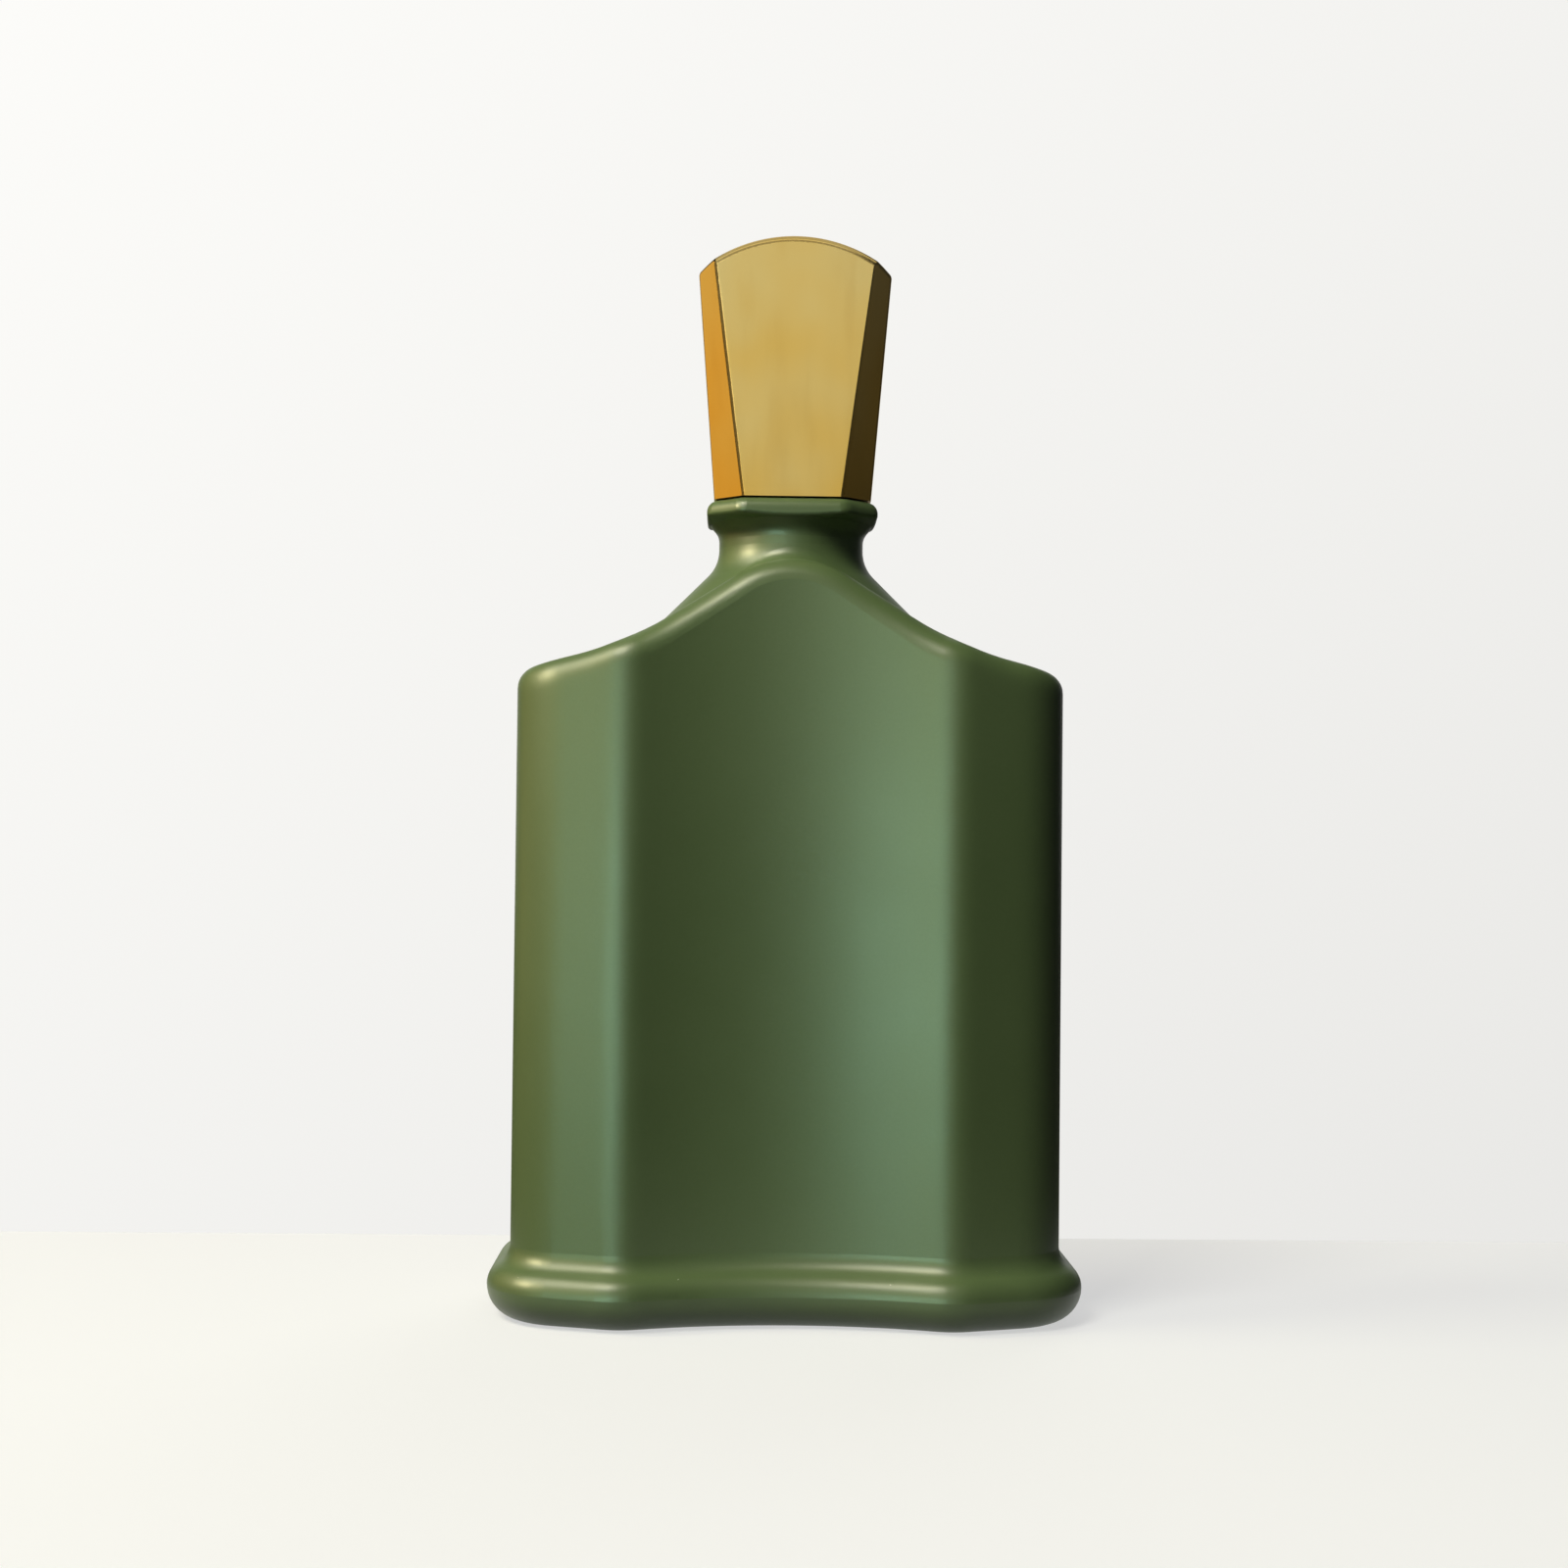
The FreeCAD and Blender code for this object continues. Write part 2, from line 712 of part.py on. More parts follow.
def nozzle_insert():
    """Orifice piece with a dimple in front and a swirl room behind."""
    face = math.sqrt(core_radius ** 2 - nozzle_radius ** 2)
    back = core_radius - nozzle_length
    insert = nozzle_space(nozzle_radius, back, face)
    insert = insert.cut(nozzle_space(pin_radius, back, face - 1.0))
    insert = insert.cut(nozzle_space(0.2, back, face))
    dimple = Part.makeCone(0.2, 0.9, 0.5, Vector(0, -face + 0.5, nozzle_height), Vector(0, -1, 0))
    return insert.cut(dimple)


def cap_shell():
    """Faceted cap that widens upwards under an arched top, bored for its liner."""
    rise = cap_top - cap_base
    base = octagon(cap_base_width, cap_base_flat, cap_base)
    shell = Part.makeLoft([base, octagon(cap_top_width, cap_top_flat, cap_top)], True, True)
    span = cap_top_width
    crown = Vector(0, -span, cap_top - cap_arch_radius)
    vault = Part.makeCylinder(cap_arch_radius, 2 * span, crown, Vector(0, 1, 0))
    spring_line = Part.makeBox(
        2 * span, 2 * span, rise - cap_arch_radius + 1, Vector(-span, -span, cap_base - 1))
    shell = shell.common(vault.fuse(spring_line)).removeSplitter().Solids[0]
    rims = [edge for edge in shell.Edges if edge.BoundBox.ZMax > cap_base + 0.1]
    shell = shell.makeFillet(cap_edge, rims)
    return shell.cut(drum(liner_radius, cap_base - 1, liner_top))


def cap_liner():
    """Plastic insert of the cap with ribs that grip the ferrule."""
    grip = liner_grip
    room = min(grip - 0.6, button_radius + 1.0)
    low = cap_base + liner_lift
    liner = turned([
        (grip, low), (liner_radius, low), (liner_radius, liner_top), (0, liner_top),
        (0, liner_top - liner_roof), (room, liner_top - liner_roof), (room, liner_step + grip - room),
        (grip, liner_step),
    ])
    touch = ferrule_radius + running_play
    foot = low + liner_lift
    corner = Vector(touch - 0.2, -liner_rib / 2, foot)
    rib = Part.makeBox(grip + 0.3 - touch, liner_rib, liner_step - foot, corner)
    core = drum(touch, low, liner_step)
    for turn in range(liner_ribs):
        blade = rib.copy()
        blade.rotate(Vector(0, 0, 0), Vector(0, 0, 1), turn * 360 / liner_ribs)
        liner = liner.fuse(blade.cut(core))
    return liner


pieces = [
    glass_bottle, neck_gasket, crimp_ferrule, pump_housing, pump_turret, dip_tube, inlet_ball,
    return_spring, valve_pin, pump_piston, preload_spring, pump_stem, actuator_core,
    actuator_shell, nozzle_insert, cap_shell, cap_liner,
]
os.makedirs("parts", exist_ok=True)
for piece in pieces:
    shape = piece()
    solid = shape.Solids[0]
    print(piece.__name__, len(shape.Solids), solid.isValid(), round(solid.Volume, 2))
    solid.exportStep("parts/%s.step" % piece.__name__)
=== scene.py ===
import math

import bpy
from mathutils import Matrix, Vector


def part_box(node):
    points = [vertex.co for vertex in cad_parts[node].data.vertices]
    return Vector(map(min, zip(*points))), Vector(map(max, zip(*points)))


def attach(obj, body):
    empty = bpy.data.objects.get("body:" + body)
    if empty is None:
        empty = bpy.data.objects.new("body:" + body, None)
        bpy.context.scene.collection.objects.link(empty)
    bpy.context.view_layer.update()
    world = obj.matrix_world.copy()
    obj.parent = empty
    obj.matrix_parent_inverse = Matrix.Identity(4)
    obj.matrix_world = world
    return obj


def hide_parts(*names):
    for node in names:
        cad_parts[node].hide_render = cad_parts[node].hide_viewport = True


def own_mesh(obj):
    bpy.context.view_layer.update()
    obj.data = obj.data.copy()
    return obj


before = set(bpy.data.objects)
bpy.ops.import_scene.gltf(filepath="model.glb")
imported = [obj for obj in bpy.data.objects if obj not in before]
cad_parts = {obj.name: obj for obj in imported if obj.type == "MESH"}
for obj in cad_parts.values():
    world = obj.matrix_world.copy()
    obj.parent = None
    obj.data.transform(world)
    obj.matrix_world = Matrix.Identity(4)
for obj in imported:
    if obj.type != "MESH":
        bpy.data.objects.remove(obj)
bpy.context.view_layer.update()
scene = bpy.context.scene
print("frame loaded:", len(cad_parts), "nodes")


# short hands for the material nodes

def newMaterial(name):
    material = bpy.data.materials.new(name)
    material.use_nodes = True
    tree = material.node_tree
    shader = next(n for n in tree.nodes if n.type == "BSDF_PRINCIPLED")
    return material, tree, shader


def addNode(tree, kind, settings=None, **sockets):
    node = tree.nodes.new(kind)
    for key, value in (settings or {}).items():
        setattr(node, key, value)
    for key, value in sockets.items():
        node.inputs[key].default_value = value
    return node


def joinNodes(tree, start, outName, end, inName):
    tree.links.new(start.outputs[outName], end.inputs[inName])


def objectPlace(tree, scale=(1, 1, 1), shift=(0, 0, 0)):
    coords = addNode(tree, "ShaderNodeTexCoord")
    mapping = addNode(tree, "ShaderNodeMapping", Scale=scale, Location=shift)
    joinNodes(tree, coords, "Object", mapping, "Vector")
    return mapping


def noiseOn(tree, place, scale, detail, roughness=0.5):
    noise = addNode(tree, "ShaderNodeTexNoise", Scale=scale, Detail=detail, Roughness=roughness)
    joinNodes(tree, place, "Vector", noise, "Vector")
    return noise


def rampOf(tree, source, outName, stops):
    ramp = addNode(tree, "ShaderNodeValToRGB")
    points = ramp.color_ramp.elements
    while len(points) < len(stops):
        points.new(0.5)
    for point, (place, colour) in zip(points, stops):
        point.position = place
        point.color = (*colour, 1)
    joinNodes(tree, source, outName, ramp, "Fac")
    return ramp


def rangeOf(tree, source, outName, low, high, start=0.0, end=1.0):
    spread = addNode(tree, "ShaderNodeMapRange",
                     **{"From Min": start, "From Max": end, "To Min": low, "To Max": high})
    joinNodes(tree, source, outName, spread, "Value")
    return spread


def mathOf(tree, operation, first, second):
    node = addNode(tree, "ShaderNodeMath", {"operation": operation})
    for socket, value in zip(node.inputs, (first, second)):
        if isinstance(value, (int, float)):
            socket.default_value = value
        else:
            tree.links.new(value[0].outputs[value[1]], socket)
    return node


def mixColour(tree, factor, below, above):
    mix = addNode(tree, "ShaderNodeMix", {"data_type": "RGBA"})
    tree.links.new(factor[0].outputs[factor[1]], mix.inputs[0])
    for socket, value in ((mix.inputs[6], below), (mix.inputs[7], above)):
        if isinstance(value[0], (int, float)):
            socket.default_value = (*value, 1)
        else:
            tree.links.new(value[0].outputs[value[1]], socket)
    return mix


def bumpFrom(tree, shader, source, outName, strength, distance, under=None):
    bump = addNode(tree, "ShaderNodeBump", Strength=strength, Distance=distance)
    joinNodes(tree, source, outName, bump, "Height")
    if under:
        joinNodes(tree, under, "Normal", bump, "Normal")
    joinNodes(tree, bump, "Normal", shader, "Normal")
    return bump


# green satin lacquer of the glass
lacquer = {
    "deep": (0.092, 0.144, 0.050),
    "pale": (0.110, 0.164, 0.062),
    "dust": (0.42, 0.45, 0.33),
    "tintStops": (0.45, 0.9),
    "cloudScale": 26,
    "grainScale": 2600,
    "grainShare": 0.35,
    "hazeScale": 150,
    "rough": (0.35, 0.43),
    "peelScale": 700,
    "peelBump": (0.05, 0.0002),       # strength, height
    "speckScale": 1100,
    "speckCut": 0.775,                # higher means fewer specks
    "dustHeight": (0.0060, 0.0076),   # crease above the base bead
    "seamWidth": 0.00025,
    "seamBump": (0.35, 0.00004),
    "softEdge": 0.003,                # the thick coat rounds the upright ridges
    "softFrom": (0.0095, 0.0140),     # but not the bead below
    "softTo": (0.0800, 0.0860),       # nor the shoulder above
}


def makeLacquer():
    material, tree, shader = newMaterial("greenLacquer")
    place = objectPlace(tree)
    cloud = noiseOn(tree, place, lacquer["cloudScale"], 3)
    grain = noiseOn(tree, place, lacquer["grainScale"], 2, 0.7)
    both = mathOf(tree, "MULTIPLY_ADD", (grain, "Fac"), lacquer["grainShare"])
    joinNodes(tree, cloud, "Fac", both, 2)
    shades = (lacquer["deep"], lacquer["pale"])
    tint = rampOf(tree, both, "Value", list(zip(lacquer["tintStops"], shades)))

    # specks of dust caught in the crease above the bead
    split = addNode(tree, "ShaderNodeSeparateXYZ")
    joinNodes(tree, place, "Vector", split, "Vector")
    low, high = lacquer["dustHeight"]
    above = mathOf(tree, "GREATER_THAN", (split, "Z"), low)
    below = mathOf(tree, "LESS_THAN", (split, "Z"), high)
    band = mathOf(tree, "MULTIPLY", (above, "Value"), (below, "Value"))
    fleck = noiseOn(tree, place, lacquer["speckScale"], 1)
    fine = mathOf(tree, "GREATER_THAN", (fleck, "Fac"), lacquer["speckCut"])
    dust = mathOf(tree, "MULTIPLY", (band, "Value"), (fine, "Value"))
    colour = mixColour(tree, (dust, "Value"), (tint, "Color"), lacquer["dust"])
    tree.links.new(colour.outputs[2], shader.inputs["Base Color"])

    haze = noiseOn(tree, place, lacquer["hazeScale"], 4)
    rough = rangeOf(tree, haze, "Fac", *lacquer["rough"])
    joinNodes(tree, rough, "Result", shader, "Roughness")

    # softened ridges, orange peel of the sprayed coat, and the mould seam at the sides
    peel = noiseOn(tree, place, lacquer["peelScale"], 2)
    onset = rangeOf(tree, split, "Z", 0, lacquer["softEdge"], *lacquer["softFrom"])
    fade = rangeOf(tree, split, "Z", lacquer["softEdge"], 0, *lacquer["softTo"])
    radius = mathOf(tree, "MINIMUM", (onset, "Result"), (fade, "Result"))
    soft = addNode(tree, "ShaderNodeBevel", {"samples": 6})
    joinNodes(tree, radius, "Value", soft, "Radius")
    wavy = bumpFrom(tree, shader, peel, "Fac", *lacquer["peelBump"], soft)
    off = mathOf(tree, "ABSOLUTE", (split, "Y"), 0)
    seam = rangeOf(tree, off, "Value", 1, 0, 0, lacquer["seamWidth"])
    bumpFrom(tree, shader, seam, "Result", *lacquer["seamBump"], wavy)
    return material


# gold plate of the cap
goldPlate = {
    "colour": ((0.86, 0.545, 0.118), (0.85, 0.640, 0.240)),
    "shade": (0.76, 0.480, 0.110),
    "rough": (0.15, 0.22),
    "streakScale": 380,
    "cloudScale": 60,
    "rise": (0.104, 0.138),   # painted sheen: paler towards the top, standing in for reflected light
}

# gold anodised sheet of the ferrule and the button
goldSheet = {
    "colour": ((0.80, 0.57, 0.205), (0.87, 0.64, 0.260)),
    "shade": (0.74, 0.510, 0.170),
    "rough": (0.20, 0.30),
    "streakScale": 900,
    "cloudScale": 70,
    # the same painted sheen, paler towards the top
    "rise": (0.104, 0.126),
}


# shared by both golds: how far the painted sheen lifts the tint, where it turns, how the streaks
# wear it
goldWear = {
    "sheenShare": 0.4,
    "tintStops": (0.3, 0.7),
    "worn": (0, 0.25, 0.50, 0.72),
    "bump": (0.03, 0.00005),
}


def makeGold(name, look, stretch):
    material, tree, shader = newMaterial(name)
    place = objectPlace(tree, stretch)
    streak = noiseOn(tree, place, look["streakScale"], 4)
    smear = noiseOn(tree, objectPlace(tree), look["cloudScale"], 2)
    split = addNode(tree, "ShaderNodeSeparateXYZ")
    joinNodes(tree, objectPlace(tree), "Vector", split, "Vector")
    # painted reflection: the gold turns paler towards the top, standing in for reflected light
    paintedSheen = rangeOf(tree, split, "Z", -0.5, 0.5, *look["rise"])
    cloud = mathOf(tree, "MULTIPLY_ADD", (paintedSheen, "Result"), goldWear["sheenShare"])
    joinNodes(tree, smear, "Fac", cloud, 2)
    tint = rampOf(tree, cloud, "Value", list(zip(goldWear["tintStops"], look["colour"])))
    worn = rangeOf(tree, streak, "Fac", *goldWear["worn"])
    colour = mixColour(tree, (worn, "Result"), (tint, "Color"), look["shade"])
    tree.links.new(colour.outputs[2], shader.inputs["Base Color"])
    spread = rangeOf(tree, streak, "Fac", *look["rough"])
    joinNodes(tree, spread, "Result", shader, "Roughness")
    shader.inputs["Metallic"].default_value = 1
    bumpFrom(tree, shader, streak, "Fac", *goldWear["bump"])
    return material


# moulded plastics of the pump, the liner and the nozzle, and the seal
plastics = {
    "pumpPlastic": {"colour": ((0.74, 0.74, 0.70), (0.82, 0.82, 0.79)),
                    "rough": (0.36, 0.50), "grain": 420},
    "linerPlastic": {"colour": ((0.70, 0.69, 0.64), (0.78, 0.77, 0.73)),
                     "rough": (0.42, 0.56), "grain": 300},
    "nozzlePlastic": {"colour": ((0.80, 0.80, 0.77), (0.87, 0.87, 0.85)),
                      "rough": (0.22, 0.32), "grain": 650},
    "sealRubber": {"colour": ((0.60, 0.60, 0.56), (0.70, 0.70, 0.66)),
                   "rough": (0.60, 0.78), "grain": 900},
}


def makePlastic(name):
    look = plastics[name]
    material, tree, shader = newMaterial(name)
    place = objectPlace(tree)
    flow = noiseOn(tree, place, look["grain"] * 0.35, 3)
    grain = noiseOn(tree, place, look["grain"] * 4, 2)
    tint = rampOf(tree, flow, "Fac", list(zip((0.3, 0.7), look["colour"])))
    joinNodes(tree, tint, "Color", shader, "Base Color")
    spread = rangeOf(tree, grain, "Fac", *look["rough"])
    joinNodes(tree, spread, "Result", shader, "Roughness")
    shader.inputs["Subsurface Weight"].default_value = 0.12
    shader.inputs["Subsurface Radius"].default_value = (0.001, 0.001, 0.0008)
    bumpFrom(tree, shader, grain, "Fac", 0.08, 0.00003)
    return material


# drawn stock: the clear dip tube and the spring wire
drawnStock = {
    "tubePlastic": {"colour": ((0.80, 0.83, 0.84), (0.90, 0.92, 0.92)), "rough": (0.16, 0.28),
                    "stretch": (1, 1, 0.06), "grain": 900, "bump": (0.05, 0.00003),
                    "sockets": {"Transmission Weight": 0.55}},
    "springSteel": {"colour": ((0.50, 0.50, 0.50), (0.62, 0.62, 0.61)), "rough": (0.22, 0.36),
                    "stretch": (1, 1, 4), "grain": 1500, "bump": (0.04, 0.00002),
                    "sockets": {"Metallic": 1}},
}


def makeDrawn(name):
    look = drawnStock[name]
    material, tree, shader = newMaterial(name)
    place = objectPlace(tree, look["stretch"])
    draw = noiseOn(tree, place, look["grain"], 3)
    tint = rampOf(tree, draw, "Fac", list(zip((0.3, 0.7), look["colour"])))
    joinNodes(tree, tint, "Color", shader, "Base Color")
    spread = rangeOf(tree, draw, "Fac", *look["rough"])
    joinNodes(tree, spread, "Result", shader, "Roughness")
    for socketName, value in look["sockets"].items():
        shader.inputs[socketName].default_value = value
    bumpFrom(tree, shader, draw, "Fac", *look["bump"])
    return material


finishes = {
    "greenLacquer": makeLacquer(),
    "goldPlate": makeGold("goldPlate", goldPlate, (1, 1, 0.15)),
    "goldSheet": makeGold("goldSheet", goldSheet, (0.2, 0.2, 3)),
}
for stockName in drawnStock:
    finishes[stockName] = makeDrawn(stockName)
for plasticName in plastics:
    finishes[plasticName] = makePlastic(plasticName)

dressing = {
    "glass_bottle": "greenLacquer",
    "cap_shell": "goldPlate",
    "cap_liner": "linerPlastic",
    "crimp_ferrule": "goldSheet",
    "actuator_shell": "goldSheet",
    "actuator_core": "pumpPlastic",
    "nozzle_insert": "nozzlePlastic",
    "neck_gasket": "sealRubber",
    "pump_housing": "pumpPlastic",
    "pump_turret": "pumpPlastic",
    "pump_stem": "pumpPlastic",
    "pump_piston": "pumpPlastic",
    "valve_pin": "pumpPlastic",
    "dip_tube": "tubePlastic",
    "inlet_ball": "springSteel",
}
for nodeName, finish in dressing.items():
    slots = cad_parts[nodeName].data.materials
    slots.clear()
    slots.append(finishes[finish])
print("finishes on", len(dressing), "nodes")


# the two springs are wound anew as wire helices
springs = {
    "returnSpring": {"node": "return_spring", "body": "bottle", "joint": "spray_press",
                     "wire": 0.0006, "turns": 6, "anchor": "low", "keep": 0.615},
    "preloadSpring": {"node": "preload_spring", "body": "pump_rod", "joint": "piston_slip",
                      "wire": 0.00045, "turns": 3.5, "anchor": "high", "keep": 0.855},
}


def windSpring(name):
    look = springs[name]
    low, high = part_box(look["node"])
    wire = look["wire"]
    coil = (high[0] - low[0] - wire) / 2
    halves = round(look["turns"] * 2)
    bpy.ops.object.select_all(action="DESELECT")
    bpy.ops.mesh.primitive_circle_add(vertices=14, radius=wire / 2, rotation=(math.pi / 2, 0, 0),
                                      location=(coil, 0, low[2] + wire / 2))
    spring = bpy.context.object
    spring.name = name
    bpy.ops.object.transform_apply(location=True, rotation=True, scale=True)
    wind = spring.modifiers.new("wind", "SCREW")
    wind.steps = wind.render_steps = 20
    wind.iterations = halves
    wind.angle = math.pi
    wind.screw_offset = (high[2] - low[2] - wire) / halves
    bpy.ops.object.modifier_apply(modifier="wind")
    bpy.ops.object.mode_set(mode="EDIT")
    bpy.ops.mesh.select_all(action="SELECT")
    bpy.ops.mesh.remove_doubles(threshold=0.000001)
    bpy.ops.mesh.select_all(action="SELECT")
    bpy.ops.mesh.fill_holes(sides=0)
    bpy.ops.mesh.select_all(action="SELECT")
    bpy.ops.mesh.normals_make_consistent(inside=False)
    bpy.ops.object.mode_set(mode="OBJECT")
    bpy.ops.object.shade_smooth_by_angle(angle=math.radians(40))
    spring.data.materials.clear()
    spring.data.materials.append(finishes["springSteel"])
    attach(spring, look["body"])
    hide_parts(look["node"])
    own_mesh(spring)
    print(name, len(spring.data.polygons), "faces")


for springName in springs:
    windSpring(springName)


# stage: floor, world, lamps and camera
stageSet = {
    "floorSize": 4.0,
    "floorColour": (0.80, 0.80, 0.81),
    "floorRough": 0.7,
    "floorBounce": (0.06, 0.06, 0.06),
    "tableDepth": 0.053,        # the pale table ends here, behind the bottle
    "tableWhite": 1.02,
    "tableReach": (0.045, 0.09),
    "glow": 0.55,
    "wallWhite": 0.885,
    "wallTint": (1, 0.994, 0.97),
    "wallFall": (-0.14, 0.16),  # dimmer to the right, brighter upwards
    "wallSpread": (0.80, 0.95),
    "worldColour": (0.90, 0.95, 1.0),
    "worldStrength": 0.036,
    "lampAim": (0, 0, 0.07),    # about the middle of the bottle
}


def backdropRays(tree, nearby):
    path = addNode(tree, "ShaderNodeLightPath")
    mirrored = mathOf(tree, "MAXIMUM", (path, "Is Glossy Ray"), (path, "Is Transmission Ray"))
    held = mathOf(tree, "MULTIPLY", (mirrored, "Value"), (nearby, "Result"))
    return mathOf(tree, "MAXIMUM", (path, "Is Camera Ray"), (held, "Value"))


def makeFloor():
    bpy.ops.object.select_all(action="DESELECT")
    bpy.ops.mesh.primitive_plane_add(size=stageSet["floorSize"])
    floor = bpy.context.object
    floor.name = "paleFloor"
    material, tree, shader = newMaterial("paleFloor")
    shader.inputs["Base Color"].default_value = (*stageSet["floorColour"], 1)
    shader.inputs["Roughness"].default_value = stageSet["floorRough"]
    shader.inputs["Specular IOR Level"].default_value = 0
    out = next(n for n in tree.nodes if n.type == "OUTPUT_MATERIAL")
    place = objectPlace(tree)
    split = addNode(tree, "ShaderNodeSeparateXYZ")
    joinNodes(tree, place, "Vector", split, "Vector")
    behind = mathOf(tree, "GREATER_THAN", (split, "Y"), stageSet["tableDepth"])
    away = addNode(tree, "ShaderNodeVectorMath", {"operation": "LENGTH"})
    joinNodes(tree, place, "Vector", away, "Vector")
    nearby = rangeOf(tree, away, "Value", 1, 0, *stageSet["tableReach"])
    shown = backdropRays(tree, nearby)

    # the table glows softly and keeps the shadow; behind its edge the wall shows
    table = addNode(tree, "ShaderNodeEmission", Strength=stageSet["tableWhite"])
    clear = addNode(tree, "ShaderNodeBsdfTransparent")
    shadowed = addNode(tree, "ShaderNodeMixShader", Fac=stageSet["glow"])
    tree.links.new(shader.outputs[0], shadowed.inputs[1])
    tree.links.new(table.outputs[0], shadowed.inputs[2])
    far = addNode(tree, "ShaderNodeMixShader")
    joinNodes(tree, behind, "Value", far, "Fac")
    tree.links.new(shadowed.outputs[0], far.inputs[1])
    tree.links.new(clear.outputs[0], far.inputs[2])
    whole = addNode(tree, "ShaderNodeMixShader")
    joinNodes(tree, shown, "Value", whole, "Fac")
    bounce = addNode(tree, "ShaderNodeBsdfDiffuse", Color=(*stageSet["floorBounce"], 1))
    tree.links.new(bounce.outputs[0], whole.inputs[1])
    tree.links.new(far.outputs[0], whole.inputs[2])
    tree.links.new(whole.outputs[0], out.inputs["Surface"])
    floor.data.materials.append(material)


def makeWorld():
    world = bpy.data.worlds.new("studio")
    scene.world = world
    world.use_nodes = True
    tree = world.node_tree
    tree.nodes.clear()
    out = addNode(tree, "ShaderNodeOutputWorld")
    mix = addNode(tree, "ShaderNodeMixShader")
    soft = addNode(tree, "ShaderNodeBackground", Strength=stageSet["worldStrength"])
    soft.inputs["Color"].default_value = (*stageSet["worldColour"], 1)

    # white wall behind the bottle, a little brighter to the upper left
    coords = addNode(tree, "ShaderNodeTexCoord")
    split = addNode(tree, "ShaderNodeSeparateXYZ")
    joinNodes(tree, coords, "Generated", split, "Vector")
    across, upward = stageSet["wallFall"]
    side = mathOf(tree, "MULTIPLY", (split, "X"), across)
    rise = mathOf(tree, "MULTIPLY", (split, "Z"), upward)
    both = mathOf(tree, "ADD", (side, "Value"), (rise, "Value"))
    level = mathOf(tree, "ADD", (both, "Value"), stageSet["wallWhite"])
    capped = mathOf(tree, "MINIMUM", (level, "Value"), 1.0)
    white = addNode(tree, "ShaderNodeBackground", Color=(*stageSet["wallTint"], 1))
    joinNodes(tree, capped, "Value", white, "Strength")
    nearby = rangeOf(tree, split, "Y", 0, 1, *stageSet["wallSpread"])
    shown = backdropRays(tree, nearby)
    joinNodes(tree, shown, "Value", mix, "Fac")
    tree.links.new(soft.outputs[0], mix.inputs[1])
    tree.links.new(white.outputs[0], mix.inputs[2])
    tree.links.new(mix.outputs[0], out.inputs["Surface"])


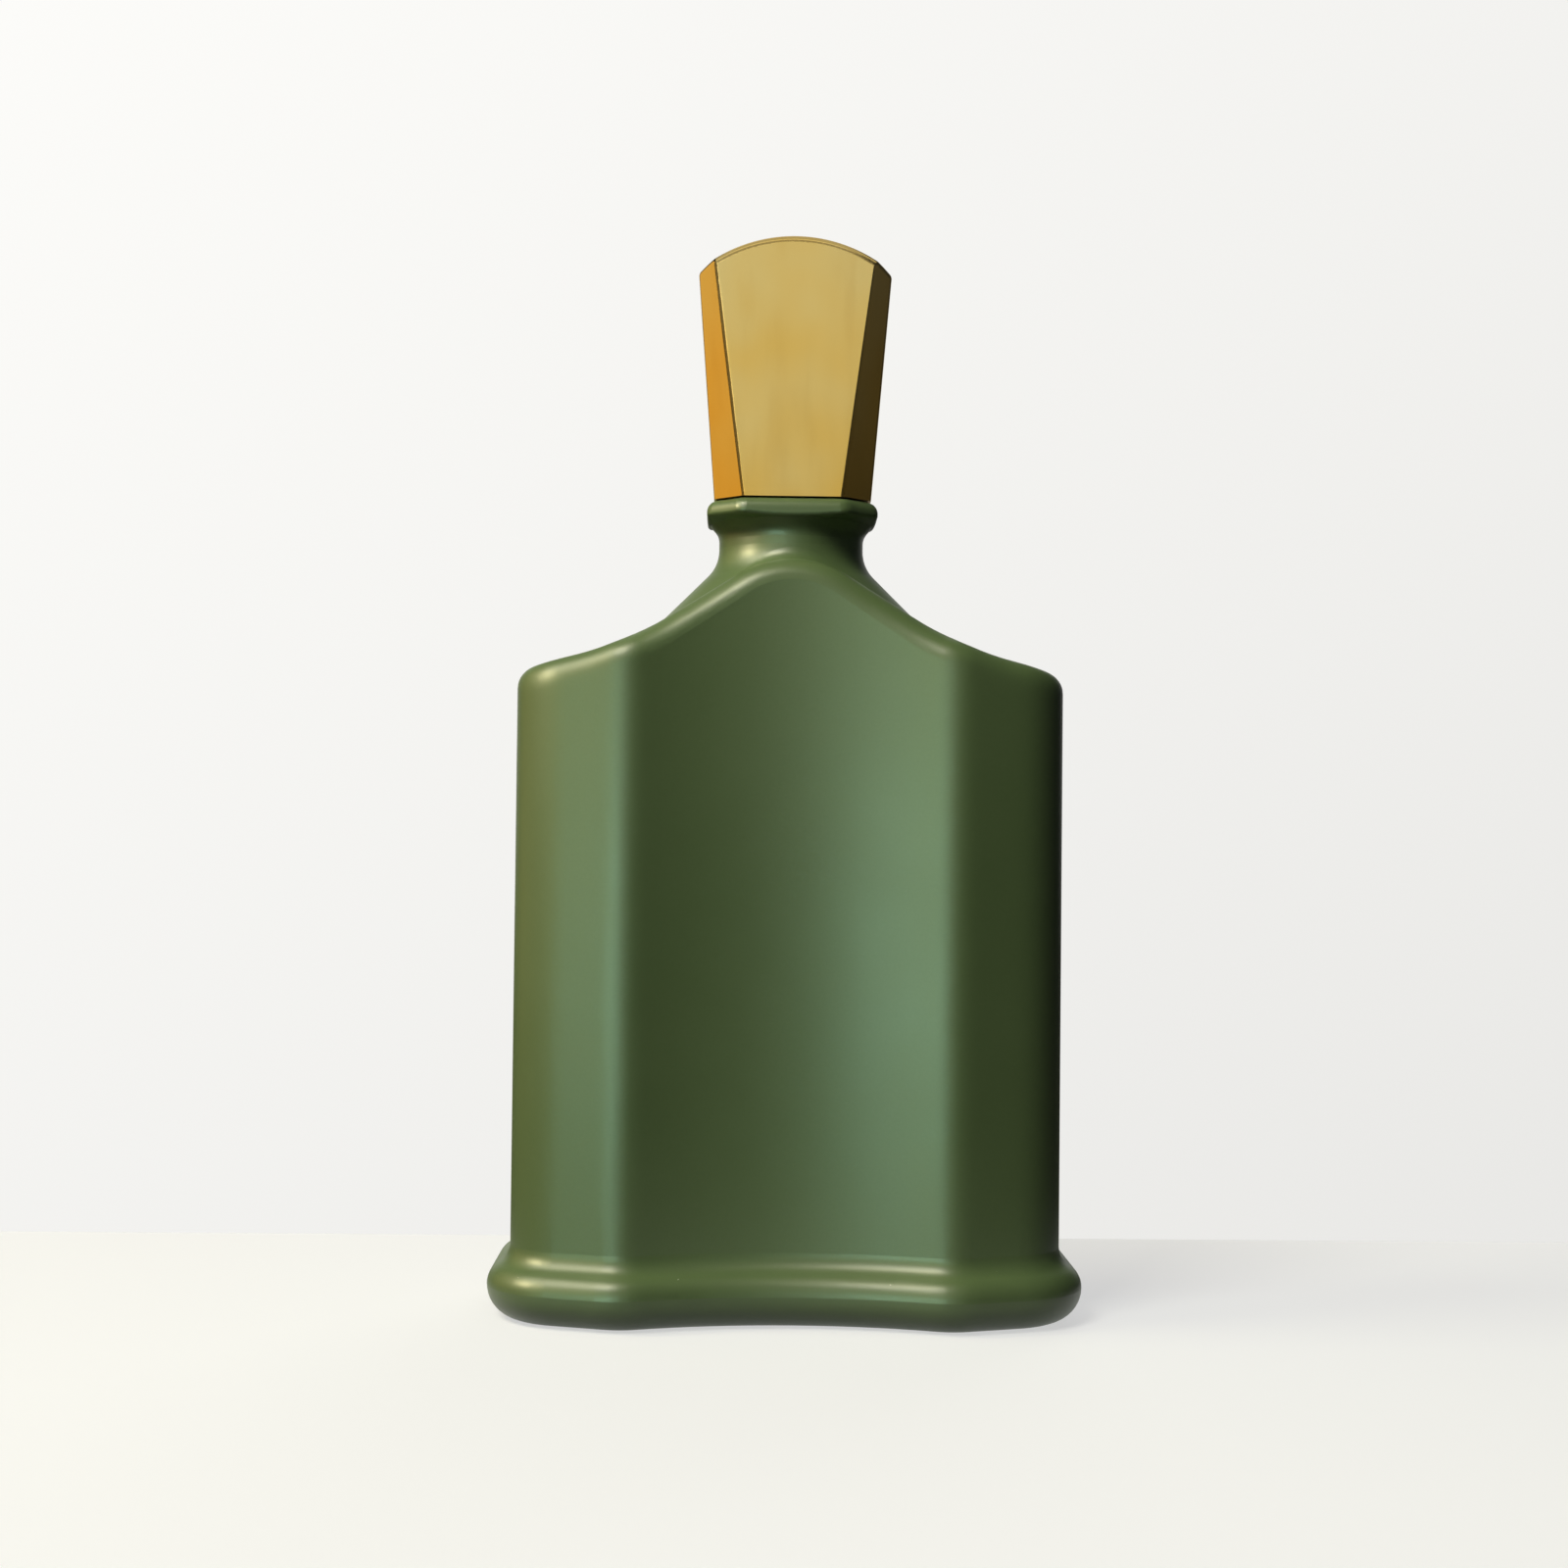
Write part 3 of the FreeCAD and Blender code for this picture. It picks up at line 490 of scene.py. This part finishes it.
# azimuth from the front towards the right, in degrees; metres and watts;
# a gleam lamp shows only in mirrors, a matte lamp in none, reach names its flag
lamps = {
    "leftWall": {"azimuth": -100, "height": 0.20, "distance": 0.50, "size": (0.52, 0.50),
                 "watts": 0.60, "colour": (1, 0.67, 0.23)},
    "leftKey": {"azimuth": -80, "height": 0.55, "distance": 0.50, "size": (0.24, 0.24),
                "watts": 1.9, "colour": (1, 0.98, 0.68), "reach": "notCap"},
    "frontKey": {"azimuth": -34, "height": 0.48, "distance": 0.40, "size": (0.22, 0.22),
                 "watts": 2.35, "colour": (1, 0.99, 0.86), "reach": "notCap"},
    "frontFill": {"azimuth": -8, "height": 0.17, "distance": 1.00, "size": (0.60, 0.60),
                  "watts": 0.82, "colour": (0.97, 1, 0.98), "gleam": True},
    "capTop": {"azimuth": -20, "height": 0.80, "distance": 0.10, "size": (0.90, 0.90),
               "watts": 1.2, "colour": (1, 0.98, 0.90), "gleam": True, "reach": "capOnly"},
    "capFront": {"azimuth": -18, "height": 0.55, "distance": 0.55, "size": (0.80, 0.60),
                 "watts": 0.50, "colour": (1, 0.98, 0.90), "gleam": True, "reach": "capOnly"},
    "capSide": {"azimuth": -48, "height": 0.12, "distance": 0.55, "size": (0.34, 0.30),
                "watts": 0.05, "colour": (1, 0.85, 0.60), "gleam": True, "reach": "capOnly"},
    "capStrip": {"azimuth": -25, "height": 0.12, "distance": 0.60, "size": (0.06, 0.50),
                 "watts": 0.12, "colour": (1, 0.96, 0.80), "gleam": True, "reach": "capOnly"},
    "backSoft": {"azimuth": 180, "height": 0.70, "distance": 0.50, "size": (0.5, 0.4),
                 "watts": 0.4, "colour": (1, 0.98, 0.95)},
    "backKey": {"azimuth": 162, "height": 0.28, "distance": 0.60, "size": (0.40, 0.30),
                "watts": 1.2, "colour": (1, 0.98, 0.94), "matte": True},
    "leftHigh": {"azimuth": -74, "height": 0.37, "distance": 0.58, "size": (0.16, 0.16),
                 "watts": 4.7, "colour": (1, 0.88, 0.50), "gleam": True, "reach": "notCap"},
    "frontHigh": {"azimuth": -40, "height": 0.40, "distance": 0.26, "size": (0.12, 0.10),
                  "watts": 0.95, "colour": (1, 0.92, 0.60), "gleam": True, "reach": "notCap"},
    "leftWindow": {"azimuth": -54, "height": 0.15, "distance": 0.50, "size": (0.20, 0.34),
                   "watts": 0.46, "colour": (1, 0.92, 0.42), "gleam": True, "reach": "notCap"},
    "warmWindow": {"azimuth": -25, "height": 0.13, "distance": 0.50, "size": (0.32, 0.22),
                   "watts": 0.31, "colour": (0.84, 1, 0.64), "gleam": True, "reach": "notCap"},
    "coolWindow": {"azimuth": -25, "height": 0.00, "distance": 0.42, "size": (0.18, 0.08),
                   "watts": 1.05, "colour": (0.60, 1.0, 0.86), "gleam": True, "reach": "notCap"},
    "rightDim": {"azimuth": 62, "height": 0.17, "distance": 0.60, "size": (0.80, 0.30),
                 "watts": 0.026, "colour": (1, 0.95, 0.85), "gleam": True},
}

# flags keep the hard lamps off the bright cap, which has four soft lamps of its own
flags = {"notCap": "EXCLUDE", "capOnly": "INCLUDE"}
reaches = {}
for flagName, state in flags.items():
    reaches[flagName] = bpy.data.collections.new(flagName)
    reaches[flagName].objects.link(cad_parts["cap_shell"])
    reaches[flagName].collection_objects[0].light_linking.link_state = state


def areaLight(name):
    look = lamps[name]
    data = bpy.data.lights.new(name, "AREA")
    data.shape = "RECTANGLE"
    data.size, data.size_y = look["size"]
    data.energy = look["watts"]
    data.color = look["colour"]
    light = bpy.data.objects.new(name, data)
    scene.collection.objects.link(light)
    turn = math.radians(look["azimuth"])
    away = look["distance"]
    light.location = (away * math.sin(turn), -away * math.cos(turn), look["height"])
    aim = Vector(stageSet["lampAim"]) - light.location
    light.rotation_euler = aim.to_track_quat("-Z", "Y").to_euler()
    light.visible_camera = False
    light.visible_diffuse = not look.get("gleam", False)
    light.visible_glossy = not look.get("matte", False)
    if "reach" in look:
        light.light_linking.receiver_collection = reaches[look["reach"]]


camera = {
    "distance": 0.309,
    "height": 0.0605,
    "azimuth": -1.2,
    "pitch": 1.41,
    "roll": 0.6,
    "lens": 54.0,
    "slide": -0.0006,
}


def makeCamera():
    data = bpy.data.cameras.new("photoView")
    data.sensor_width = 36
    data.lens = camera["lens"]
    data.clip_start = 0.005
    view = bpy.data.objects.new("photoView", data)
    scene.collection.objects.link(view)
    turn = Matrix.Rotation(math.radians(camera["azimuth"]), 4, "Z")
    place = Matrix.Translation((camera["slide"], -camera["distance"], camera["height"]))
    tilt = Matrix.Rotation(math.radians(90 + camera["pitch"]), 4, "X")
    lean = Matrix.Rotation(math.radians(camera["roll"]), 4, "Z")
    view.matrix_world = turn @ place @ tilt @ lean
    scene.camera = view


makeFloor()
makeWorld()
for lampName in lamps:
    areaLight(lampName)
makeCamera()
scene.view_settings.view_transform = "Standard"
print("stage set")
